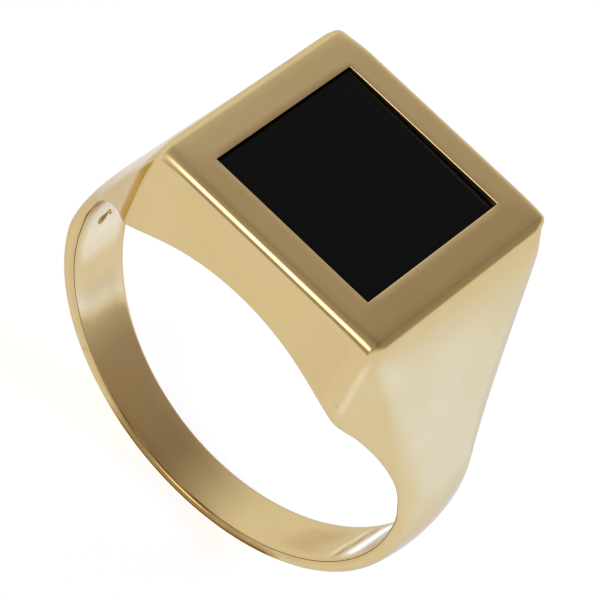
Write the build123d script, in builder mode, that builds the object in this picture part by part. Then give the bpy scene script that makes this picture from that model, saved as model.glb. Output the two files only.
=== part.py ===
from build123d import *
from math import cos, radians, sin
import os

os.makedirs("parts", exist_ok=True)

# A square signet ring: a hollow head that holds a flat black stone, two shoulders that
# sweep down from the head, and a thin shank that closes the circle under the finger.
# Millimetres. The origin is the middle of the finger hole, +Z points to the head and
# Y runs along the finger.

# finger hole and band: half round outside, thicker at the sides than at the bottom
finger_r = 9.9
band_r = 10.87
band_rise = 0.32
band_crown_r = 7.9
band_half_bottom = 1.38
band_half_side = 2.10

# head
head_half_x = 6.36
head_half_y = 6.30
head_top = 13.47
rim_round_x = 0.55
rim_round_y = 0.35
corner_round = 0.7
lip_round = 0.1
wall = 0.9
mitre_in = 0.43  # how far in from the head's corners the inner ends of the mitres lie

# shoulder, seen from the front: a straight flank, eased in to the rim and out to the band
# the right flank stands a little further out than the left, as hand filing left it
rim_corner = (6.38, head_top)
flank_tops = {1: (7.48, 10.80), -1: (7.24, 10.80)}
flank_feet = {1: (10.23, 3.50), -1: (9.90, 3.70)}

# stone and what it sits in
window_x = 8.95
window_y = 9.05
frame_under = 11.85
seat_thick = 0.6
seat_hole = 6.0
stone_gap = 0.03
stone_thick = 1.15
stone_deep = 0.30
stone_lean = 1.2

# the two joints between the shoulders and the shank, counted from the top of the ring
joint_angle = 87.0
joint_thick = 0.08

# longer than any side of the ring, for cuts that go right through
reach = 20.0


# The outer shape in three views. The ring is what all three have in common.
# A sketch's own Y points up the view, so the rim's corners are found by their Y.
rim_level = (head_top - 0.01, head_top + 0.01)

# front view: down each flank, round the band, and over the head
with BuildSketch(Plane.XZ) as front_view:
    with BuildLine():
        for side in (1, -1):
            top_x, top_z = flank_tops[side]
            foot_x, foot_z = flank_feet[side]
            flank = Line((side * top_x, top_z), (side * foot_x, foot_z))
            TangentArc(flank @ 0, (side * rim_corner[0], rim_corner[1]), tangent=(flank % 0) * -1)
            TangentArc(flank @ 1, (side * band_r, band_rise), tangent=flank % 1)
        Line(rim_corner, (-rim_corner[0], rim_corner[1]))
        ThreePointArc((band_r, band_rise), (0, band_rise - band_r), (-band_r, band_rise))
    make_face()
    fillet(front_view.vertices().filter_by_position(Axis.Y, *rim_level), rim_round_x)

# side view: the band's taper, then the flare up to the head
with BuildSketch(Plane.YZ) as side_view:
    with BuildLine():
        Line((0, -band_r), (band_half_bottom, -band_r))
        taper = Line((band_half_bottom, -band_r), (band_half_side, 0))
        flare = Spline(
            taper @ 1, (2.75, 2.70), (4.25, 4.95), (5.80, 7.30), (head_half_y, 9.20),
            tangents=(taper % 1, (0, 1)),
        )
        Polyline(flare @ 1, (head_half_y, head_top), (0, head_top))
        mirror(about=Plane.YZ)
    make_face()
    fillet(side_view.vertices().filter_by_position(Axis.Y, *rim_level), rim_round_y)

# top view: the square head, the flanks that narrow, and the band's rounded back
band_edge_x = band_r - band_crown_r + (band_crown_r ** 2 - band_half_side ** 2) ** 0.5
with BuildSketch() as top_view:
    with BuildLine():
        cheek_edge = Line((0, head_half_y), (head_half_x, head_half_y))
        narrowing = Spline(
            cheek_edge @ 1, (7.55, 4.83), (9.30, 3.12), (band_edge_x, band_half_side),
            tangents=((0.62, -0.78), (0.85, -0.52)),
        )
        RadiusArc(narrowing @ 1, (band_r, 0), band_crown_r)
        mirror(about=Plane.XZ)
        mirror(about=Plane.YZ)
    make_face()
    corners = top_view.vertices().filter_by_position(Axis.Y, head_half_y - 0.01, head_half_y + 0.01)
    corners += top_view.vertices().filter_by_position(Axis.Y, -head_half_y - 0.01, -head_half_y + 0.01)
    corners = [v for v in corners if abs(v.X) > 1]
    fillet(corners, corner_round)

# the ring as one shape, which the pieces below are cut from
with BuildPart() as outer_shape:
    extrude(front_view.sketch, amount=reach, both=True)
    extrude(side_view.sketch, amount=reach, both=True, mode=Mode.INTERSECT)
    extrude(top_view.sketch, amount=reach, both=True, mode=Mode.INTERSECT)
    with BuildSketch(Plane.XZ):
        Circle(finger_r)
    extrude(amount=reach, both=True, mode=Mode.SUBTRACT)

# the hollow under the head, open to the finger, one wall inside the flanks and cheeks
with BuildPart() as hollow:
    with BuildSketch(Plane.XZ):
        with BuildLine():
            outline = [(0, 0)]
            for side in (1, -1):
                top = Vector(side * flank_tops[side][0], flank_tops[side][1])
                foot = Vector(side * flank_feet[side][0], flank_feet[side][1])
                down = (foot - top).normalized()
                inward = down.rotate(Axis.Z, -90 * side) * wall
                under = top + inward - down * ((frame_under - top.Y - inward.Y) / -down.Y)
                outline += [foot + inward, under] if side == 1 else [under, foot + inward]
            Polyline(*outline, close=True)
        make_face()
    extrude(amount=reach, both=True)
    with BuildSketch():
        with BuildLine():
            inside_cheek = Line((0, head_half_y - wall), (head_half_x - mitre_in, head_half_y - wall))
            inside_narrowing = Spline(inside_cheek @ 1, (6.96, 4.15), (8.90, 2.35))
            Line(inside_narrowing @ 1, (8.90, 0))
            mirror(about=Plane.XZ)
            mirror(about=Plane.YZ)
        make_face()
    extrude(amount=frame_under, mode=Mode.INTERSECT)


# square frame round the stone
with BuildPart() as head_frame:
    add(outer_shape.part)
    with BuildSketch(Plane.XY.offset(frame_under)):
        Rectangle(2 * reach, 2 * reach)
    extrude(amount=reach, mode=Mode.INTERSECT)
    with BuildSketch(Plane.XY.offset(frame_under)):
        Rectangle(window_x, window_y)
    extrude(amount=reach, mode=Mode.SUBTRACT)
    lip = head_frame.edges().filter_by_position(Axis.Z, *rim_level)
    lip = lip.filter_by_position(Axis.X, -window_x / 2 - 0.1, window_x / 2 + 0.1)
    lip = lip.filter_by_position(Axis.Y, -window_y / 2 - 0.1, window_y / 2 + 0.1)
    fillet(lip, lip_round)
head_frame.part.label = "head_frame"
export_step(head_frame.part, "parts/head_frame.step")

# cheek: a flat plate over the finger with an arched lower edge and mitred ends
with BuildSketch() as front_cheek_plan:
    Polygon(
        (-head_half_x - mitre_in / 2, -head_half_y - wall / 2),
        (head_half_x + mitre_in / 2, -head_half_y - wall / 2),
        (head_half_x - mitre_in, -head_half_y + wall),
        (-head_half_x + mitre_in, -head_half_y + wall),
        align=None,
    )
with BuildPart() as front_cheek:
    add(outer_shape.part)
    extrude(front_cheek_plan.sketch, amount=frame_under, mode=Mode.INTERSECT)
front_cheek.part.label = "front_cheek"
export_step(front_cheek.part, "parts/front_cheek.step")

with BuildPart() as back_cheek:
    mirror(front_cheek.part, about=Plane.XZ)
back_cheek.part.label = "back_cheek"
export_step(back_cheek.part, "parts/back_cheek.step")


# A point in the front view: so far out along a side's joint, and so far past it to the shank.
def at_joint(side, out, past=0.0):
    a = radians(joint_angle)
    return (side * (out * sin(a) + past * cos(a)), out * cos(a) - past * sin(a))


for side, hand in ((1, "right"), (-1, "left")):
    # shoulder: the skin that runs from under the frame down to the joint, between the cheeks
    with BuildPart() as shoulder:
        add(outer_shape.part)
        with BuildSketch(Plane.XZ):
            Polygon(
                (0, 0), at_joint(side, reach), (side * reach, frame_under), (0, frame_under),
                align=None,
            )
        extrude(amount=reach, both=True, mode=Mode.INTERSECT)
        add(hollow.part, mode=Mode.SUBTRACT)
        with BuildSketch():
            add(front_cheek_plan.sketch)
            mirror(about=Plane.XZ)
        extrude(amount=reach, mode=Mode.SUBTRACT)
    shoulder.part.label = hand + "_shoulder"
    export_step(shoulder.part, "parts/" + hand + "_shoulder.step")

    # solder seam: the thin film that joins the shoulder to the shank
    with BuildPart() as seam:
        add(outer_shape.part)
        with BuildSketch(Plane.XZ):
            Polygon(
                (0, 0), at_joint(side, reach),
                at_joint(side, reach, joint_thick), at_joint(side, 0, joint_thick),
                align=None,
            )
        extrude(amount=reach, both=True, mode=Mode.INTERSECT)
    seam.part.label = hand + "_seam"
    export_step(seam.part, "parts/" + hand + "_seam.step")

# shank: the half-round strip round the underside of the finger, narrowing to the bottom
with BuildPart() as shank:
    with BuildSketch(Plane.XY.offset(band_rise)):
        with BuildLine():
            crown = ThreePointArc((band_edge_x, -band_half_side), (band_r, 0), (band_edge_x, band_half_side))
            Polyline(crown @ 1, (finger_r - 1, band_half_side), (finger_r - 1, -band_half_side), crown @ 0)
        make_face()
    revolve(axis=Axis((0, 0, band_rise), (0, 1, 0)))
    extrude(side_view.sketch, amount=reach, both=True, mode=Mode.INTERSECT)
    with BuildSketch(Plane.XZ):
        Circle(finger_r)
    extrude(amount=reach, both=True, mode=Mode.SUBTRACT)
    with BuildSketch(Plane.XZ):
        Polygon(
            at_joint(1, 0, joint_thick), at_joint(1, reach, joint_thick), (reach, -reach),
            (-reach, -reach), at_joint(-1, reach, joint_thick), at_joint(-1, 0, joint_thick),
            align=None,
        )
    extrude(amount=reach, both=True, mode=Mode.INTERSECT)
shank.part.label = "shank"
export_step(shank.part, "parts/shank.step")

# seat: the ledge plate under the frame, open in the middle behind the stone
with BuildPart() as stone_seat:
    add(hollow.part)
    with BuildSketch(Plane.XY.offset(frame_under)):
        Rectangle(2 * reach, 2 * reach)
        Rectangle(seat_hole, seat_hole, mode=Mode.SUBTRACT)
    extrude(amount=-seat_thick, mode=Mode.INTERSECT)
stone_seat.part.label = "stone_seat"
export_step(stone_seat.part, "parts/stone_seat.step")

# stone: a flat tablet that lies a little lower at the +X end
tablet_x = window_x - 2 * stone_gap
tablet_y = window_y - 2 * stone_gap
tablet_plane = Plane.XY.offset(head_top - stone_deep).rotated((0, stone_lean, 0))
with BuildPart() as onyx_tablet:
    with BuildSketch(tablet_plane):
        Rectangle(tablet_x, tablet_y)
    extrude(amount=-stone_thick)
onyx_tablet.part.label = "onyx_tablet"
export_step(onyx_tablet.part, "parts/onyx_tablet.step")

# cement: the wedge between the ledge and the leaning stone
with BuildPart() as stone_cement:
    with BuildSketch(Plane.XY.offset(frame_under)):
        Rectangle(tablet_x - 0.1, tablet_y - 0.1)
        Rectangle(seat_hole, seat_hole, mode=Mode.SUBTRACT)
    extrude(amount=stone_thick / 2)
    add(onyx_tablet.part, mode=Mode.SUBTRACT)
stone_cement.part.label = "stone_cement"
export_step(stone_cement.part, "parts/stone_cement.step")
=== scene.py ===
import bpy
import bmesh
from math import atan2, cos, degrees, hypot, pi, radians, sin, sqrt
from mathutils import Matrix, Vector
from mathutils.geometry import interpolate_bezier


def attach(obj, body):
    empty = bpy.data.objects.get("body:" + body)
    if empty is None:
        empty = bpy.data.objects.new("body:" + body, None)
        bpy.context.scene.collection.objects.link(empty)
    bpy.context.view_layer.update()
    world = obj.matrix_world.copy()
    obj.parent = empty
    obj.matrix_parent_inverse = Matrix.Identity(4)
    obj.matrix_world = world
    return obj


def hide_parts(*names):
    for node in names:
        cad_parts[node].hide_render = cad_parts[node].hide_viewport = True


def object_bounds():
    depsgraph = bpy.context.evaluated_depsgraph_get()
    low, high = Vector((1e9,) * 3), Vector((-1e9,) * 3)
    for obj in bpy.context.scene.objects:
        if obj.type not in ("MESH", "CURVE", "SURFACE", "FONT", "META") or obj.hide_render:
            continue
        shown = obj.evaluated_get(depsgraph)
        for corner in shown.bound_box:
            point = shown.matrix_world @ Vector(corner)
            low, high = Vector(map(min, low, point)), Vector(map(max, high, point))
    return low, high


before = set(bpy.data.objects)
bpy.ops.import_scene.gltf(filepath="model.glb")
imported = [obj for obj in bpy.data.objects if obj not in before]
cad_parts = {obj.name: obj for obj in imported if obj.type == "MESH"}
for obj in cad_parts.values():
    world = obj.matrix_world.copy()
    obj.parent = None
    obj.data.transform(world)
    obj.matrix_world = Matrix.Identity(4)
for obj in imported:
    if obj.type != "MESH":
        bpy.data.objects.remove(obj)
cadLow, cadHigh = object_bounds()
print("frame loaded:", len(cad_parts), "nodes")

mm = 0.001


# small helpers

def mix(a, b, t):
    return a + (b - a) * t


def ease(a, b, x):  # 0 below a, 1 above b, smooth between
    t = min(max((x - a) / (b - a), 0.0), 1.0)
    return t * t * (3 - 2 * t)


def curveTable(handles, count=500):  # a Bezier as a table that lookUp reads
    return [tuple(p)[:2] for p in interpolate_bezier(*[Vector((*h, 0)) for h in handles], count)]


def lookUp(table, x):
    low, high = 0, len(table) - 1
    if x <= table[0][0]:
        return table[0][1]
    if x >= table[-1][0]:
        return table[-1][1]
    while high - low > 1:
        middle = (low + high) // 2
        if table[middle][0] <= x:
            low = middle
        else:
            high = middle
    (x0, y0), (x1, y1) = table[low], table[high]
    return mix(y0, y1, (x - x0) / (x1 - x0))


def makePiece(bm, name, material, slotName, *nodes):  # from a bmesh drawn in millimetres
    bmesh.ops.scale(bm, vec=(mm,) * 3, verts=bm.verts)
    bmesh.ops.remove_doubles(bm, verts=bm.verts, dist=1e-7)
    bmesh.ops.recalc_face_normals(bm, faces=bm.faces)
    mesh = bpy.data.meshes.new(name)
    bm.to_mesh(mesh)
    bm.free()
    piece = bpy.data.objects.new(name, mesh)
    bpy.context.scene.collection.objects.link(piece)
    mesh.materials.append(material)
    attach(piece, "root")
    if nodes:
        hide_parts(*nodes)
    print("made", name, len(mesh.polygons), "faces")
    return piece


# node materials

class Nodes:  # the few node calls that every finish here uses

    def __init__(self, name):
        self.material = bpy.data.materials.new(name)
        self.material.use_nodes = True
        self.tree = self.material.node_tree
        self.shader = self.tree.nodes["Principled BSDF"]
        self.place = self.add("ShaderNodeTexCoord").outputs["Object"]

    def add(self, kind, **values):
        node = self.tree.nodes.new(kind)
        for key, value in values.items():
            setattr(node, key, value)
        return node

    def link(self, a, b):
        self.tree.links.new(a, b)

    def noise(self, scale, detail=2.0, roughness=0.5, stretch=(1, 1, 1), turn=(0, 0, 0)):
        mapping = self.add("ShaderNodeMapping")
        mapping.inputs["Scale"].default_value = stretch
        mapping.inputs["Rotation"].default_value = turn
        self.link(self.place, mapping.inputs["Vector"])
        node = self.add("ShaderNodeTexNoise")
        node.inputs["Scale"].default_value = scale
        node.inputs["Detail"].default_value = detail
        node.inputs["Roughness"].default_value = roughness
        self.link(mapping.outputs["Vector"], node.inputs["Vector"])
        return node.outputs["Fac"]

    def spread(self, value, low, high, outLow, outHigh):
        node = self.add("ShaderNodeMapRange", interpolation_type="SMOOTHSTEP")
        ends = (low, high, outLow, outHigh)
        for socket, number in zip(("From Min", "From Max", "To Min", "To Max"), ends):
            node.inputs[socket].default_value = number
        self.link(value, node.inputs["Value"])
        return node.outputs["Result"]

    def blend(self, factor, a, b):
        node = self.add("ShaderNodeMix", data_type="RGBA")
        for socket, value in zip((node.inputs[0], node.inputs[6], node.inputs[7]), (factor, a, b)):
            if isinstance(value, bpy.types.NodeSocket):
                self.link(value, socket)
            elif isinstance(value, (int, float)):
                socket.default_value = value
            else:
                socket.default_value = (*value, 1)
        return node.outputs[2]

    def multiply(self, a, b):
        node = self.add("ShaderNodeMath", operation="MULTIPLY")
        self.link(a, node.inputs[0])
        self.link(b, node.inputs[1])
        return node.outputs[0]

    def bump(self, height, strength, distance, before=None):
        node = self.add("ShaderNodeBump")
        node.inputs["Strength"].default_value = strength
        node.inputs["Distance"].default_value = distance
        self.link(height, node.inputs["Height"])
        if before:
            self.link(before, node.inputs["Normal"])
        return node.outputs["Normal"]


goldLook = {
    "colour": (0.65, 0.508, 0.256),
    "wornColour": (0.668, 0.53, 0.28),
    "edgeTint": (0.78, 0.73, 0.64),
    "roughness": (0.12, 0.19),
    "waviness": 0.03,
    "hairlines": 0.025,
    "cloudScale": 260,
    "streakScale": 700,
    "speckScale": 620,
    # brown of the specks, and also the colour of the painted shade
    "stain": (0.42, 0.29, 0.12),
    # edge tint and colour of the deep painted shade, then colours of the painted highlight and white
    # painted reflection
    "shadeEdgeTint": (0.80, 0.60, 0.34),
    "deepShadeColour": (0.27, 0.15, 0.035),
    "highlightColour": (0.80, 0.71, 0.50),
    "whiteReflection": (0.97, 0.96, 0.93),
}


def goldFinish(look=goldLook):
    n = Nodes("polishedGold")
    s = n.shader.inputs
    cloud = n.noise(look["cloudScale"], detail=3)
    body = n.blend(n.spread(cloud, 0.35, 0.65, 0, 1), look["colour"], look["wornColour"])
    # painted light on the piece: -2 deep painted shade, -1 painted shade, 0 plain, 1 painted highlight, 2
    # white painted reflection
    paintedLight = n.add("ShaderNodeAttribute", attribute_name="paintedLight").outputs["Fac"]
    # painted shade: brown in streaks where the painted light is below 0, deep painted shade below -1
    streaks = n.noise(look["streakScale"], detail=3, stretch=(1, 1, 0.25))
    paintedShade = n.multiply(n.spread(paintedLight, -1, 0, 1, 0), n.spread(streaks, 0.25, 0.6, 0.55, 1))
    body = n.blend(paintedShade, body, look["stain"])
    deep = n.spread(paintedLight, -2, -1, 1, 0)
    body = n.blend(deep, body, look["deepShadeColour"])
    # painted highlight above 0, and white painted reflection above 1
    body = n.blend(n.spread(paintedLight, 0, 1, 0, 1), body, look["highlightColour"])
    body = n.blend(n.spread(paintedLight, 1, 2, 0, 1), body, look["whiteReflection"])
    # a few small brown specks left in the metal
    specks = n.add("ShaderNodeTexVoronoi")
    specks.inputs["Scale"].default_value = look["speckScale"]
    n.link(n.place, specks.inputs["Vector"])
    speck = n.multiply(n.spread(specks.outputs["Distance"], 0.05, 0.16, 1, 0),
                       n.spread(n.noise(240, detail=1), 0.60, 0.66, 0, 0.55))
    n.link(n.blend(speck, body, look["stain"]), s["Base Color"])
    s["Metallic"].default_value = 1.0
    # the edge tint darkens under the painted shade and goes white under the painted reflection
    edgeTint = n.blend(deep, n.blend(paintedShade, look["edgeTint"], look["shadeEdgeTint"]), look["stain"])
    n.link(n.blend(n.spread(paintedLight, 1, 2, 0, 1), edgeTint, (1, 1, 1)), s["Specular Tint"])
    # fine polishing lines over a slightly wavy surface
    hair = n.noise(900, detail=2, roughness=0.7, stretch=(1, 14, 5), turn=(0.2, 0.1, 0.6))
    n.link(n.spread(n.noise(420, detail=4, roughness=0.6), 0.3, 0.7, *look["roughness"]), s["Roughness"])
    wave = n.bump(n.noise(180, detail=1.0), look["waviness"], 0.0006)
    n.link(n.bump(hair, look["hairlines"], 0.00003, wave), s["Normal"])
    return n.material


onyxLook = {
    "colour": (0.0045, 0.0055, 0.0065),
    "roughness": 0.035,
    "specular": 0.06,
    "dust": (0.055, 0.055, 0.055),
    "dustScale": 900,
}


def onyxFinish(look=onyxLook):
    n = Nodes("polishedOnyx")
    s = n.shader.inputs
    specks = n.add("ShaderNodeTexVoronoi")
    specks.inputs["Scale"].default_value = look["dustScale"]
    n.link(n.place, specks.inputs["Vector"])
    keep = n.spread(n.noise(300, detail=1), 0.62, 0.68, 0, 1)
    dot = n.spread(specks.outputs["Distance"], 0.06, 0.13, 1, 0)
    n.link(n.blend(n.multiply(keep, dot), look["colour"], look["dust"]), s["Base Color"])
    s["Specular IOR Level"].default_value = look["specular"]
    dull = n.spread(n.noise(500, detail=3), 0.3, 0.7, look["roughness"], look["roughness"] * 1.6)
    n.link(dull, s["Roughness"])
    n.link(n.bump(n.noise(220, detail=1), 0.02, 0.0002), s["Normal"])
    return n.material


cementLook = {"colour": (0.05, 0.04, 0.03), "paleColour": (0.11, 0.09, 0.065), "roughness": 0.6}


def cementFinish(look=cementLook):
    n = Nodes("darkCement")
    s = n.shader.inputs
    grain = n.noise(1500, detail=5, roughness=0.65)
    n.link(n.blend(n.spread(grain, 0.35, 0.7, 0, 1), look["colour"], look["paleColour"]), s["Base Color"])
    s["Roughness"].default_value = look["roughness"]
    n.link(n.bump(grain, 0.4, 0.00005), s["Normal"])
    return n.material


solderLook = {"colour": (0.56, 0.37, 0.13), "stain": (0.30, 0.19, 0.07), "roughness": (0.28, 0.45)}


def solderFinish(look=solderLook):
    n = Nodes("satinSolder")
    s = n.shader.inputs
    pits = n.noise(2200, detail=4, roughness=0.6)
    cloud = n.spread(n.noise(1300, detail=3), 0.42, 0.7, 0, 1)
    n.link(n.blend(cloud, look["colour"], look["stain"]), s["Base Color"])
    s["Metallic"].default_value = 1.0
    n.link(n.spread(pits, 0.3, 0.7, *look["roughness"]), s["Roughness"])
    n.link(n.bump(pits, 0.25, 0.00004), s["Normal"])
    return n.material


gold = goldFinish()
onyx = onyxFinish()
cement = cementFinish()
solder = solderFinish()


# the metal of the ring

# Millimetres. A section is spun round the finger, and each point of it is then taken to its place
# on the ring: stations go round the finger, rows go round the section.
ringShape = {
    "fingerRadius": 9.9,
    "bandRadius": 10.87,
    "bandRise": 0.32,
    "crownRadius": 7.9,
    "headHalfX": 6.38,
    "headHalfY": 6.30,
    "headTop": 13.47,
    "rimRound": 0.50,           # rounding of the rim over the flanks
    "flankTops": {1: (7.48, 10.80), -1: (7.24, 10.80)},
    "flankFeet": {1: (10.23, 3.50), -1: (9.90, 3.70)},
    # two Bezier curves for half the width: by height, and by distance out from the middle
    "flare": ((0, 2.10), (4.52, 2.40), (5.94, 6.30), (9.20, 6.30)),
    "narrowing": ((6.36, 6.30), (8.68, 3.38), (10.19, 2.34), (10.586, 2.10)),
    "halfBottom": 1.38,
    "halfSide": 2.10,
    "archBlend": (1.1, 0.6, 0.5, 4.0),  # where the two curves meet: most, share, heights it fades in
    "sideFade": (-0.8, 1.2),    # heights over which the band's own width takes over
    # softness of the crease between cheek and flank, at the rim and at the arch
    "creaseTop": 0.07,
    "creaseFoot": 0.45,
    "creaseSpan": (7.2, 12.5),
    "edgeRound": (0.62, 1.35, 0.30),  # outer edge: at the rim, half way down the flank, on the band
    "cornerRound": {1: 0.72, -1: 0.90},  # the rim close to the corners, by side
    "cornerSpan": (4.5, 6.2),
    # the head's corners seen from above, by side and whether at the back
    "planRound": {(1, False): 0.22, (1, True): 0.50, (-1, False): 0.40, (-1, True): 0.25},
    "planRun": 1.3,             # how many radii a rounded corner runs on down the flank
    "planFade": (10.4, 12.8),
    "crownFade": (0.62, 1.0),   # share of the way to the joint over which the band goes half round
    "crownReach": 4,            # further from the middle than this nothing falls
    "innerRound": 0.26,
    "window": (4.475, 4.525),
    "topSlope": 0.035,          # each bar of the frame falls a little to the outside
    "topFade": (0.0, 0.10),     # share of the way to the joint over which that fall fades out
    "lipRound": 0.07,
    "frameUnder": 11.85,
    "wall": 0.9,
    "jointAngle": 87.0,
    "jointSoft": 1.3,           # how wide the outline is run smooth at the joint
    "jointThick": 0.08,
    # angles of the stations that ease from the flank into the band
    "easing": (72.5, 74.5, 76.5, 78.5, 80.5, 82.3, 84.0, 85.3, 86.2, 86.6),
    # steps along each stretch of the outline
    "windowSteps": 8,
    "roundSteps": 7,
    "flankSteps": 24,
    "bandSteps": 44,
}
shape = ringShape
flareTable = curveTable(shape["flare"])
narrowTable = curveTable(shape["narrowing"])


def arcOn(start, heading, end):  # centre of the arc that leaves start along heading and reaches end
    (x0, z0), (x1, z1) = start, end
    nx, nz = -heading[1], heading[0]
    dx, dz = x1 - x0, z1 - z0
    reach = (dx * dx + dz * dz) / (2 * (dx * nx + dz * nz))
    return x0 + nx * reach, z0 + nz * reach


def arcPoints(start, centre, end, count):
    a0 = atan2(start[1] - centre[1], start[0] - centre[0])
    a1 = atan2(end[1] - centre[1], end[0] - centre[0])
    turn = (a1 - a0 + pi) % (2 * pi) - pi
    r = hypot(start[0] - centre[0], start[1] - centre[1])
    return [(centre[0] + r * cos(a0 + turn * i / count), centre[1] + r * sin(a0 + turn * i / count))
            for i in range(count + 1)]


def angleOf(point):  # degrees from the top of the ring
    return degrees(atan2(point[0], point[1]))


# outer outline of one side in the front view, from the middle of the head to the bottom
def sideStations(side):
    s = shape
    top, foot = s["flankTops"][side], s["flankFeet"][side]
    run = hypot(foot[0] - top[0], foot[1] - top[1])
    down = ((foot[0] - top[0]) / run, (foot[1] - top[1]) / run)
    rim = (s["headHalfX"], s["headTop"])
    band = (s["bandRadius"], s["bandRise"])
    upper = arcPoints(rim, arcOn(top, (-down[0], -down[1]), rim), top, 8)
    lower = arcPoints(foot, arcOn(foot, down, band), band, 60)
    # rounding where the head's top turns into the flank
    r = s["rimRound"]
    lean = atan2(upper[1][0] - upper[0][0], upper[0][1] - upper[1][1])
    turn = pi / 2 - lean
    cut = r * sin(turn / 2) / cos(turn / 2)
    centre = (rim[0] - cut, rim[1] - r)
    steps = s["roundSteps"]
    rounding = [(centre[0] + r * sin(turn * i / steps), centre[1] + r * cos(turn * i / steps))
                for i in range(steps + 1)]
    wx, steps = s["window"][0], s["windowSteps"]
    flat = [(wx * i / steps, rim[1]) for i in range(steps + 1)]
    flat += [(mix(wx, centre[0], i / 4), rim[1]) for i in range(1, 4)]
    start = rounding[-1]
    upper = [p for p in upper if p[1] < start[1] - 0.25]
    ledge = [(mix(start[0], upper[0][0], t), mix(start[1], upper[0][1], t)) for t in (0.3, 0.6)]
    steps = s["flankSteps"]
    flank = [(mix(top[0], foot[0], i / steps), mix(top[1], foot[1], i / steps))
             for i in range(1, steps + 1)]
    joint = s["jointAngle"]
    past = joint + degrees(s["jointThick"] / s["bandRadius"])
    easing = [min(lower, key=lambda p: abs(angleOf(p) - a)) if a not in (joint, past)
              else onOutline(lower, a) for a in (*s["easing"], joint, past, past + 0.4)]
    steps = s["bandSteps"]
    around = [(s["bandRadius"] * cos(a), s["bandRise"] + s["bandRadius"] * sin(a))
              for a in [-pi / 2 * i / steps for i in range(steps + 1)]]
    # the outline would break a little where the flank meets the band, so the break is run smooth
    slope = (lower[-1][0] - lower[-2][0]) / (lower[-2][1] - lower[-1][1])
    soft = s["jointSoft"] * slope

    def runSmooth(x, z):
        if z > s["bandRise"]:
            gap = sqrt(max(s["bandRadius"] ** 2 - (z - s["bandRise"]) ** 2, 0)) - x
        else:
            gap = s["bandRadius"] + (s["bandRise"] - z) * slope - x
        return x - max(soft - gap, 0.0) ** 2 / (4 * soft), z

    lowerHalf = [runSmooth(*point) for point in easing + around]
    return flat + rounding + ledge + upper + flank + lowerHalf


def onOutline(points, angle):  # the point of an outline at an angle from the top
    for a, b in zip(points, points[1:]):
        if angleOf(a) <= angle <= angleOf(b):
            t = (angle - angleOf(a)) / (angleOf(b) - angleOf(a))
            return mix(a[0], b[0], t), mix(a[1], b[1], t)


def halfWidth(x, z, back=False):  # half the width of the ring at a point of the front view
    s = shape
    plan = s["planRound"][(1 if x > 0 else -1, back)]
    x = abs(x)
    full = s["headHalfY"]
    low = (z + s["bandRadius"]) / s["bandRadius"]
    side = lookUp(flareTable, z) if z > 0 else mix(s["halfBottom"], s["halfSide"], low)
    x0, h0 = narrowTable[0]
    if x < x0:
        x1, h1 = narrowTable[3]
        top = h0 + (x - x0) * (h1 - h0) / (x1 - x0)
    else:
        top = lookUp(narrowTable, x)
    if z < s["sideFade"][0]:
        return side
    bend = min(max(x - (s["headHalfX"] - plan), 0.0), plan)
    rounded = full - plan + sqrt(plan * plan - bend * bend)
    meet = s["headHalfX"] + s["planRun"] * plan
    if x > s["headHalfX"]:  # the rounded corner runs on until it meets the flank
        past = (x - s["headHalfX"]) / (meet - s["headHalfX"])
        rounded = mix(full - plan, lookUp(narrowTable, meet), past)
    if x < meet:
        top = min(top, mix(top, rounded, ease(*s["planFade"], z)))
    soft = mix(s["creaseFoot"], s["creaseTop"], ease(*s["creaseSpan"], z))
    cut = full - top
    cut = (cut + sqrt(cut * cut + soft * soft)) / 2
    top = full - cut
    gap = abs(side - top)
    most, part, fadeLow, fadeHigh = s["archBlend"]
    k = min(most, part * (2 * full - side - top)) * ease(fadeLow, fadeHigh, z)
    joined = min(side, top) - (max(k - gap, 0) ** 2 / (4 * k) if k > 1e-6 else 0)
    return mix(side, joined, ease(*s["sideFade"], z))


def makeStations(side):  # the stations of one side, and which of them is at the joint
    s = shape
    outer = sideStations(side)
    lengths = [0.0]
    for a, b in zip(outer, outer[1:]):
        lengths.append(lengths[-1] + hypot(b[0] - a[0], b[1] - a[1]))
    rimAt = next(i for i, p in enumerate(outer) if p[0] > s["headHalfX"] - 0.02)
    footAt = next(i for i, p in enumerate(outer) if angleOf(p) > s["jointAngle"] - 0.01)
    rimAngle = degrees(atan2(s["headHalfX"], sqrt(s["fingerRadius"] ** 2 - s["headHalfX"] ** 2)))
    stations = []
    for i, (x, z) in enumerate(outer):
        if i <= rimAt:
            a = atan2(x, sqrt(s["fingerRadius"] ** 2 - x ** 2))
        elif i < footAt:
            t = (lengths[i] - lengths[rimAt]) / (lengths[footAt] - lengths[rimAt])
            t += 0.35 * t * (1 - t) * (0.3 - t)  # moves the inner ends a little along the bore
            a = radians(mix(rimAngle, degrees(atan2(*outer[footAt])), t))
        else:
            a = atan2(x, z)
        inner = (s["fingerRadius"] * sin(a), s["fingerRadius"] * cos(a))
        share = max(0.0, min(1.0, (lengths[i] - lengths[rimAt]) / (lengths[footAt] - lengths[rimAt])))
        stations.append({"outer": (side * x, z), "inner": (side * inner[0], inner[1]), "share": share,
                         "angle": angleOf((x, z)), "roof": roofShare(inner, (x, z), side)})
    return stations, footAt


def roofShare(inner, outer, side):  # how far up its column the hollow under the head reaches
    s = shape
    top, foot = s["flankTops"][side], s["flankFeet"][side]
    run = hypot(foot[0] - top[0], foot[1] - top[1])
    outX, outZ = (top[1] - foot[1]) / run, (foot[0] - top[0]) / run
    rise = outer[1] - inner[1]
    reach = 1.0
    if rise > 0.01:
        reach = min(reach, (s["frameUnder"] - inner[1]) / rise)
    here = outX * (inner[0] - top[0]) + outZ * (inner[1] - top[1])
    there = outX * (outer[0] - top[0]) + outZ * (outer[1] - top[1])
    if there > here:
        reach = min(reach, (-s["wall"] - here) / (there - here))
    return max(reach, 0.0)


right, rightJoint = makeStations(1)
left, leftJoint = makeStations(-1)
stations = right + left[-2:0:-1]  # round the ring, from the middle of the head over +X
stationCount = len(stations)
leftJoint = stationCount - leftJoint

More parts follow.
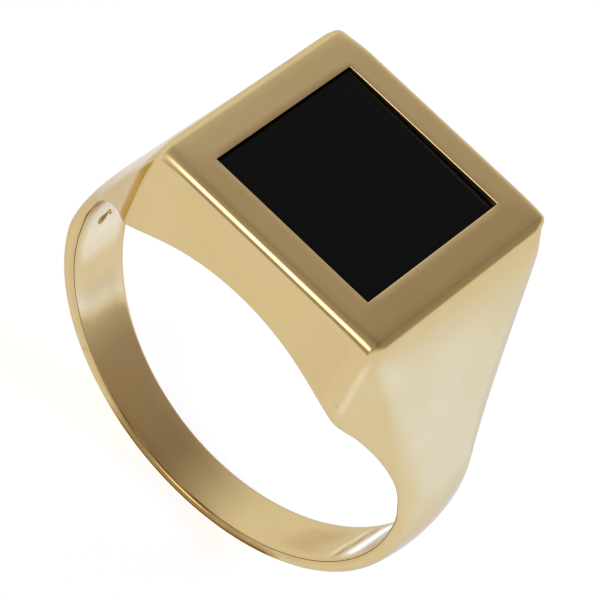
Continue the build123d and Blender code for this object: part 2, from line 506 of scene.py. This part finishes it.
# rows round the section, named by what they lie on, with a value along it
windowRow = shape["window"][1] / (shape["headHalfY"] - shape["edgeRound"][0])
underRow = shape["window"][1] / (shape["headHalfY"] - shape["wall"])
outValues = [0, 0.13, 0.26, 0.39, 0.52, 0.65, windowRow, 0.86, 0.95]
outRows = [("out", -v, 0) for v in outValues[:0:-1]] + [("out", v, 0) for v in outValues]
halfRows = [("edge", i / 8) for i in range(9)]
faceValues = [0.985, 0.96, 0.9, 0.82, 0.73, 0.64, 0.55, 0.46, 0.37, 0.28, 0.2, 0.12, 0.05]
halfRows += [("face", value) for value in faceValues]
halfRows += [("foot", i / 5) for i in range(6)]
boreValues = [1.0, underRow, 0.7, 0.56, 0.42, 0.28, 0.14, 0]
boreRows = [("bore", -v, 0) for v in boreValues] + [("bore", v, 0) for v in boreValues[-2::-1]]
rows = outRows[::-1] + [(*row, -1) for row in halfRows]
rows += boreRows + [(*row, 1) for row in reversed(halfRows)]
rowCount = len(rows)


def crownDrop(y, station):  # how far the band's half-round outside has fallen at y
    fade, crown = ease(*shape["crownFade"], station["share"]), shape["crownRadius"]
    return fade * (crown - sqrt(crown ** 2 - y * y)) if abs(y) < shape["crownReach"] else 0.0


def crownSlope(y, station):
    fade, crown = ease(*shape["crownFade"], station["share"]), shape["crownRadius"]
    return fade * y / sqrt(crown ** 2 - y * y) if abs(y) < shape["crownReach"] else 0.0


def topFall(x, y):  # how far the frame's top has fallen at a point, from the lip outwards
    out = max(abs(x) - shape["window"][0], abs(y) - shape["window"][1], 0.0)
    return shape["topSlope"] * out


def openHalf(width):  # half the width of the hollow where the ring is that wide
    return max(width - shape["wall"], 0.35 * width)


def sectionPoint(station, row):  # where a point of the section goes at a station
    s = shape
    kind, value, face = row
    (xi, zi), (xo, zo) = station["inner"], station["outer"]
    depth = hypot(xo - xi, zo - zi)
    dirX, dirZ = (xo - xi) / depth, (zo - zi) / depth
    share = station["share"]
    rim, middle, band = s["edgeRound"]
    rim = mix(rim, s["cornerRound"][1 if xo > 0 else -1], ease(*s["cornerSpan"], abs(xo)))
    edge = mix(mix(rim, middle, ease(0.0, 0.5, share)), band, ease(0.55, 1.0, share))
    inner = s["innerRound"]

    def at(t):
        return xi + (xo - xi) * t, zi + (zo - zi) * t

    back = face > 0 or (face == 0 and value > 0)

    def wide(t):
        return halfWidth(*at(t), back)

    wOuter = wide(1)
    along = abs(value) if kind == "out" else 1.0
    zo -= topFall(xo, along * (wOuter - edge)) * (1 - ease(*s["topFade"], share))
    crown, slope = crownDrop(wOuter - edge, station), crownSlope(wOuter - edge, station)
    if kind == "out":
        y = value * (wOuter - edge)
        drop = crownDrop(y, station)
        return Vector((xo - dirX * drop, y, zo - dirZ * drop))
    if kind == "edge":
        a = value * pi / 2
        drop = edge * (1 - cos(a)) + crown + slope * edge * sin(a)
        t = 1 - drop / depth
        w = wide(t)
        y = w - edge * (1 - sin(a))
        x, z = at(t)
        return Vector((x, face * y, z))
    base = edge + crown + slope * edge
    if kind == "face":
        t = mix(inner / depth, 1 - base / depth, value)
        x, z = at(t)
        return Vector((x, face * wide(t), z))
    if kind == "foot":
        a = value * pi / 2
        t = inner * (1 - sin(a)) / depth
        x, z = at(t)
        return Vector((x, face * (wide(t) - inner * (1 - cos(a))), z))
    return Vector((xi, value * openHalf(wide(0)), zi))


print("stations", stationCount, "rows", rowCount)

ring = bmesh.new()
bmesh.ops.create_circle(ring, cap_ends=False, segments=rowCount, radius=1.0)
# the circle stands in the YZ plane, out from the finger's axis
spinRadius = 10
bmesh.ops.rotate(ring, verts=ring.verts, cent=(0, 0, 0), matrix=Matrix.Rotation(pi / 2, 3, "Y"))
bmesh.ops.translate(ring, verts=ring.verts, vec=(0, 0, spinRadius))
bmesh.ops.spin(ring, geom=ring.verts[:] + ring.edges[:], cent=(0, 0, 0), axis=(0, 1, 0),
               angle=2 * pi, steps=stationCount, use_merge=True)
bmesh.ops.remove_doubles(ring, verts=ring.verts, dist=1e-5)
stationLayer = ring.verts.layers.int.new("station")
rowLayer = ring.verts.layers.int.new("row")
for v in ring.verts:
    around = atan2(v.co.x, v.co.z) % (2 * pi)
    out = hypot(v.co.x, v.co.z) - spinRadius
    turn = atan2(-v.co.y, out) % (2 * pi)
    v[stationLayer] = round(around / (2 * pi) * stationCount) % stationCount
    v[rowLayer] = round(turn / (2 * pi) * rowCount) % rowCount
seen = {(v[stationLayer], v[rowLayer]) for v in ring.verts}
print("ring grid", len(ring.verts), "of", stationCount * rowCount, "distinct", len(seen))

# the row list starts at the back of the outer surface, so it is turned to start at its middle
firstRow = len(outRows) // 2
# painted light and shade, kept on each vertex for the gold to read
paintedLightLayer = ring.verts.layers.float.new("paintedLight")


# Degrees from the top of the ring, or millimetres. Painted light runs from -2 to 2, as the gold reads it:
# painted shade below 0, painted highlight above 0.
paintedLightLook = {
    # painted reflection streaks, bright and dark, inside the band on the right: middle, reach, painted
    # light
    "boreReflections": ((115.5, 6.5, 2.4), (121.5, 2.2, -0.9), (124.5, 2.2, 1.1), (137, 14, -0.5)),
    "boreSlant": 2.2,
    "boreFrom": 105,
    # painted reflection up the bore beside the left joint, then a patch of painted shade
    "jointPale": 1.3,
    "jointSpan": (60, 80, 98, 112),   # rises over the first two, fades over the last two
    "boreShade": (119, 9, -0.4),
    # painted shade: the band darker towards the bottom, and along the edge into the bore
    "bottomShade": -2.0,
    "bottomShadeSpan": {1: (141, 150), -1: (146, 160)},
    "bottomShadeFrom": 130,
    "footShade": -0.3,
    # painted shade over the front cheek
    "cheekShade": -0.22,
    "cheekSpan": (1.5, 5.0, 5.2, 5.9),
    # painted highlight down the right crease, painted shade along the left one
    "creaseHighlight": 0.52,
    "creaseShade": -1.0,
}


def hump(x, middle, reach):  # 1 at the middle, 0 one reach away
    return 1 - ease(0, reach, abs(x - middle))


def bandShade(around, side):  # painted shade: the band's front and back sides go dark brown towards the bottom
    return paintedLightLook["bottomShade"] * ease(*paintedLightLook["bottomShadeSpan"][side], around)


def paintedLightAt(station, row, place):  # painted shade below 0, painted highlight above 0
    look = paintedLightLook
    kind, value, face = row
    side = 1 if station["outer"][0] > 0 else -1
    around = station["angle"]
    # painted reflections and painted shade, streaked inside the band on the right
    if kind == "bore" and side > 0 and around > look["boreFrom"]:
        at = around + look["boreSlant"] * place.y
        return sum(paintedLight * hump(at, middle, reach) for middle, reach, paintedLight in look["boreReflections"])
    if kind == "bore" and side < 0:  # painted reflection: paler up beside the joint, with a patch of painted shade further round
        riseLow, riseHigh, fadeLow, fadeHigh = look["jointSpan"]
        pale = look["jointPale"] * (1 - ease(fadeLow, fadeHigh, around)) * ease(riseLow, riseHigh, around)
        middle, reach, paintedLight = look["boreShade"]
        return pale + paintedLight * hump(around, middle, reach)
    # painted shade along the edge into the bore, and darker towards the bottom
    if kind == "foot" and station["share"] > 0.6:
        foot = look["footShade"] * sin(pi * value)
        return min(foot, bandShade(around, side) * (1 - value))
    # painted shade: the band's sides darker towards the bottom
    if around > look["bottomShadeFrom"] and (kind == "face" or (kind == "edge" and value > 0.6)):
        return bandShade(around, side)
    if kind not in ("face", "foot"):
        return 0.0
    out = abs(place.x) - shape["headHalfX"]
    if kind == "face" and place.y < 0 and out < -0.3:  # the cheek, with painted shade darker to the right
        riseLow, riseHigh, fadeLow, fadeHigh = look["cheekSpan"]
        return look["cheekShade"] * ease(riseLow, riseHigh, place.x) * (1 - ease(fadeLow, fadeHigh, place.x))
    height = place.z
    if side > 0:  # painted highlight: a bright line down the crease, fading before the arch
        line = (1 - ease(0.0, 0.30, abs(out))) * ease(7.9, 9.2, height)
        return look["creaseHighlight"] * line * (1 - ease(11.6, 13.2, height))
    # painted shade: a brown band along the left crease
    line = ease(-0.05, 0.12, out) * (1 - ease(0.35, 0.95, out))
    return look["creaseShade"] * line * ease(6.6, 7.6, height)


def rowOf(v):
    return rows[(v[rowLayer] + firstRow) % rowCount]


def stationOf(v):
    return stations[v[stationLayer]]


# each point's place, and the light and shade painted on it
for v in ring.verts:
    v.co = sectionPoint(stationOf(v), rowOf(v))
    v[paintedLightLayer] = paintedLightAt(stationOf(v), rowOf(v), v.co)


def keepStations(bm, first, last):  # cuts the ring down to a run of stations, and caps its ends
    layer = bm.verts.layers.int["station"]
    span = (last - first) % stationCount
    lose = [v for v in bm.verts if (v[layer] - first) % stationCount > span]
    bmesh.ops.delete(bm, geom=lose, context="VERTS")
    ends = [e for e in bm.edges if e.is_boundary]
    bmesh.ops.holes_fill(bm, edges=ends, sides=0)


def smooth(piece):
    mesh = piece.data
    mesh.shade_smooth()
    mesh.set_sharp_from_angle(angle=radians(38))
    weighted = piece.modifiers.new("evenNormals", "WEIGHTED_NORMAL")
    weighted.keep_sharp = True
    weighted.weight = 50


# the hollow under the head: the faces over the finger, pushed up to the roof
head = ring.copy()
stationLayer, rowLayer = head.verts.layers.int["station"], head.verts.layers.int["row"]
minDepth = 0.25  # a shallower place isn't opened
lastShare = 0.9  # nor one closer to the joint


def overHollow(v):
    station = stationOf(v)
    (xi, zi), (xo, zo) = station["inner"], station["outer"]
    deep = station["roof"] * hypot(xo - xi, zo - zi) > minDepth
    return deep and station["share"] < lastShare and rowOf(v)[0] == "bore"


opening = [f for f in head.faces if all(overHollow(v) for v in f.verts)]
pushed = bmesh.ops.extrude_face_region(head, geom=opening)
roofVerts = [g for g in pushed["geom"] if isinstance(g, bmesh.types.BMVert)]
roofFaces = [g for g in pushed["geom"] if isinstance(g, bmesh.types.BMFace)]
bmesh.ops.delete(head, geom=[f for f in opening if f.is_valid], context="FACES")
for v in roofVerts:
    station = stationOf(v)
    (xi, zi), (xo, zo) = station["inner"], station["outer"]
    x, z = mix(xi, xo, station["roof"]), mix(zi, zo, station["roof"])
    v.co = (x, rowOf(v)[1] * openHalf(halfWidth(x, z)), z)


# the window for the stone: through the head's top and the roof
windowX, windowY = shape["window"]
topLevel = shape["headTop"] - 0.02


def inWindow(f):
    return all(abs(v.co.x) < windowX + 0.01 and abs(v.co.y) < windowY + 0.01 for v in f.verts)


topFaces = [f for f in head.faces if inWindow(f) and all(v.co.z > topLevel for v in f.verts)]
underFaces = [f for f in roofFaces if f.is_valid and inWindow(f)]
bmesh.ops.delete(head, geom=topFaces + underFaces, context="FACES")
hole = [e for e in head.edges if e.is_boundary]
print("window edges", len(hole), "top faces", len(topFaces), "under", len(underFaces))
bmesh.ops.bridge_loops(head, edges=hole)
lip = [e for e in hole if e.is_valid and all(v.co.z > topLevel for v in e.verts)]
bmesh.ops.bevel(head, geom=lip, offset=shape["lipRound"], affect="EDGES", segments=3, profile=0.5,
                material=-1)

keepStations(head, leftJoint, rightJoint)
shank = ring.copy()
keepStations(shank, rightJoint + 1, leftJoint - 1)
smooth(makePiece(head, "ringHead", gold, "gold",
                 "head_frame", "front_cheek", "back_cheek", "left_shoulder", "right_shoulder"))
smooth(makePiece(shank, "shankBand", gold, "gold", "shank"))
for name, first, node in (("rightSolder", rightJoint, "right_seam"),
                          ("leftSolder", leftJoint - 1, "left_seam")):
    seam = ring.copy()
    keepStations(seam, first, first + 1)
    smooth(makePiece(seam, name, gold, "solder", node))
ring.free()

# a hook of solder left on the inside of the band, beside the left joint
hookLook = {
    # degrees round the ring, place across the band
    "path": ((-93.1, -0.50), (-92.4, -0.40), (-91.6, -0.26), (-90.6, -0.12),
             (-89.8, -0.03), (-90.6, 0.08), (-91.8, 0.18), (-92.2, 0.27)),
    "radii": (0.12, 0.16, 0.13, 0.08, 0.075, 0.07, 0.10, 0.06),
    "sink": 0.3,    # share of its radius that a bead lies in the metal
    "beads": 6,     # beads from one point of the path to the next
    "grain": 0.022,
}
hook = bmesh.new()
hookPath = list(zip(hookLook["path"], hookLook["radii"]))
for (near, nearRadius), (far, farRadius) in zip(hookPath, hookPath[1:]):
    for step in range(hookLook["beads"]):
        t = step / hookLook["beads"]
        around, along = radians(mix(near[0], far[0], t)), mix(near[1], far[1], t)
        radius = mix(nearRadius, farRadius, t)
        bead = bmesh.ops.create_icosphere(hook, subdivisions=2, radius=radius)["verts"]
        out = shape["fingerRadius"] + hookLook["sink"] * radius
        bmesh.ops.translate(hook, verts=bead, vec=(out * sin(around), along, out * cos(around)))
solderHook = makePiece(hook, "solderHook", solder, "solder")
melt = solderHook.modifiers.new("melt", "REMESH")  # runs the beads together into one skin
melt.mode = "VOXEL"
melt.voxel_size = hookLook["grain"] * mm
melt.use_smooth_shade = True

for node, material in (("stone_seat", gold), ("stone_cement", cement)):
    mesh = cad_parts[node].data
    mesh.materials.clear()
    mesh.materials.append(material)


# the stone

tabletLook = {"gap": 0.03, "thick": 1.15, "deep": 0.30, "lean": 1.2, "edge": 0.10}

tablet = bmesh.new()
bmesh.ops.create_cube(tablet, size=1.0)
gap = tabletLook["gap"]
tabletSize = (2 * (windowX - gap), 2 * (windowY - gap), tabletLook["thick"])
bmesh.ops.scale(tablet, vec=tabletSize, verts=tablet.verts)
bmesh.ops.translate(tablet, vec=(0, 0, -tabletLook["thick"] / 2), verts=tablet.verts)
bmesh.ops.bevel(tablet, geom=tablet.edges[:], offset=tabletLook["edge"], affect="EDGES", segments=3,
                profile=0.5, material=-1)
leaning = Matrix.Rotation(radians(tabletLook["lean"]), 3, "Y")
bmesh.ops.rotate(tablet, verts=tablet.verts, cent=(0, 0, 0), matrix=leaning)
bmesh.ops.translate(tablet, vec=(0, 0, shape["headTop"] - tabletLook["deep"]), verts=tablet.verts)
smooth(makePiece(tablet, "onyxTablet", onyx, "onyx", "onyx_tablet"))


# floor, light, camera

floorLook = {
    "halfSize": 600,
    "drop": 0.05,
    "colour": (0.38, 0.375, 0.36),
    "roughness": 0.9,
    "glow": 0.775,
    "glowColour": (1.0, 0.995, 0.985),
}
floorMesh = bmesh.new()
bmesh.ops.create_grid(floorMesh, x_segments=1, y_segments=1, size=floorLook["halfSize"] * mm)
bmesh.ops.translate(floorMesh, verts=floorMesh.verts, vec=(0, 0, cadLow.z - floorLook["drop"] * mm))
floorData = bpy.data.meshes.new("studioFloor")
floorMesh.to_mesh(floorData)
floorMesh.free()
floor = bpy.data.objects.new("studioFloor", floorData)
bpy.context.scene.collection.objects.link(floor)
floorNodes = Nodes("paleFloor")
floorNodes.shader.inputs["Base Color"].default_value = (*floorLook["colour"], 1)
floorNodes.shader.inputs["Roughness"].default_value = floorLook["roughness"]
floorNodes.shader.inputs["Specular IOR Level"].default_value = 0.0
floorNodes.shader.inputs["Emission Color"].default_value = (*floorLook["glowColour"], 1)
floorNodes.shader.inputs["Emission Strength"].default_value = floorLook["glow"]
floorData.materials.append(floorNodes.material)

studioLook = {
    "colour": (1.0, 0.985, 0.96),
    "strength": 1.0,
    # dark cards in the tent: direction, how dark, angle where the dark is full, angle where it ends
    "darkCards": (((0.45, 0.62, 0.64), 0.67, 22, 72), ((0.0, -0.25, 0.97), 0.615, 20, 72),
                  ((-0.15, -0.97, 0.14), 0.62, 9, 27)),
    "cardColour": (0.13, 0.045, 0.0),
    # the bright card over the front rim: direction, gain, angle where it is full, angle where it ends
    "brightCard": ((-0.21, -0.76, 0.61), 6.5, 3, 20),
}
world = bpy.data.worlds.new("lightTent")
bpy.context.scene.world = world
world.use_nodes = True
tent = world.node_tree
tentWay = tent.nodes.new("ShaderNodeTexCoord").outputs["Generated"]


def tentCard(way, inside, full, end):  # a value that is inside at a direction and 1 away from it
    dot = tent.nodes.new("ShaderNodeVectorMath")
    dot.operation = "DOT_PRODUCT"
    dot.inputs[1].default_value = Vector(way).normalized()
    angle = tent.nodes.new("ShaderNodeMath")
    angle.operation = "ARCCOSINE"
    spread = tent.nodes.new("ShaderNodeMapRange")
    spread.interpolation_type = "SMOOTHSTEP"
    ends = (radians(full), radians(end), inside, 1)
    for socket, number in zip(("From Min", "From Max", "To Min", "To Max"), ends):
        spread.inputs[socket].default_value = number
    tent.links.new(tentWay, dot.inputs[0])
    tent.links.new(dot.outputs["Value"], angle.inputs[0])
    tent.links.new(angle.outputs[0], spread.inputs["Value"])
    return spread.outputs["Result"]


def tentMultiply(a, b):
    node = tent.nodes.new("ShaderNodeMath")
    node.operation = "MULTIPLY"
    for value, socket in zip((a, b), node.inputs):
        if isinstance(value, float):
            socket.default_value = value
        else:
            tent.links.new(value, socket)
    return node.outputs[0]


light = 1.0
for way, dark, full, end in studioLook["darkCards"]:
    light = tentMultiply(light, tentCard(way, 1 - dark, full, end))
tone = tent.nodes.new("ShaderNodeMix")
tone.data_type = "RGBA"
tone.inputs[6].default_value = (*studioLook["cardColour"], 1)
tone.inputs[7].default_value = (*studioLook["colour"], 1)
tent.links.new(light, tone.inputs[0])
tent.links.new(tone.outputs[2], tent.nodes["Background"].inputs["Color"])
brightWay, gain, brightFull, brightEnd = studioLook["brightCard"]
tent.links.new(tentMultiply(studioLook["strength"], tentCard(brightWay, gain, brightFull, brightEnd)),
               tent.nodes["Background"].inputs["Strength"])

# a weak cool lamp that tints the floor beside the ring, for the right flank to mirror
coolLook = {
    "place": (0.031, 0.0196, 0.0125),
    "aim": (0.031, 0.0195, -0.0106),
    "size": (0.02, 0.02),
    "power": 0.020,
    "colour": (0.12, 0.34, 1.0),
}
coolData = bpy.data.lights.new("coolBox", "AREA")
coolData.shape = "RECTANGLE"
coolData.size, coolData.size_y = coolLook["size"]
coolData.energy = coolLook["power"]
coolData.color = coolLook["colour"]
cool = bpy.data.objects.new("coolBox", coolData)
cool.location = coolLook["place"]
coolWay = Vector(coolLook["aim"]) - Vector(coolLook["place"])
cool.rotation_euler = coolWay.to_track_quat("-Z", "Y").to_euler()
cool.visible_camera = False
cool.visible_glossy = False
bpy.context.scene.collection.objects.link(cool)

cameraLook = {
    "place": (0.033832, -0.098626, 0.127252),
    "right": (0.70743, 0.63236, 0.31572),
    "up": (-0.67529, 0.47282, 0.56608),
    "lens": 217.07,
    "sensor": 36,
    "clip": (0.01, 5),
}
cameraData = bpy.data.cameras.new("camera")
cameraData.lens = cameraLook["lens"]
cameraData.sensor_width = cameraLook["sensor"]
cameraData.clip_start, cameraData.clip_end = cameraLook["clip"]
camera = bpy.data.objects.new("camera", cameraData)
rightWay, upWay = Vector(cameraLook["right"]), Vector(cameraLook["up"])
backWay = rightWay.cross(upWay)
turnMatrix = Matrix((rightWay, upWay, backWay)).transposed()
camera.matrix_world = Matrix.Translation(cameraLook["place"]) @ turnMatrix.to_4x4()
bpy.context.scene.collection.objects.link(camera)
bpy.context.scene.camera = camera
bpy.context.scene.view_settings.view_transform = "Standard"
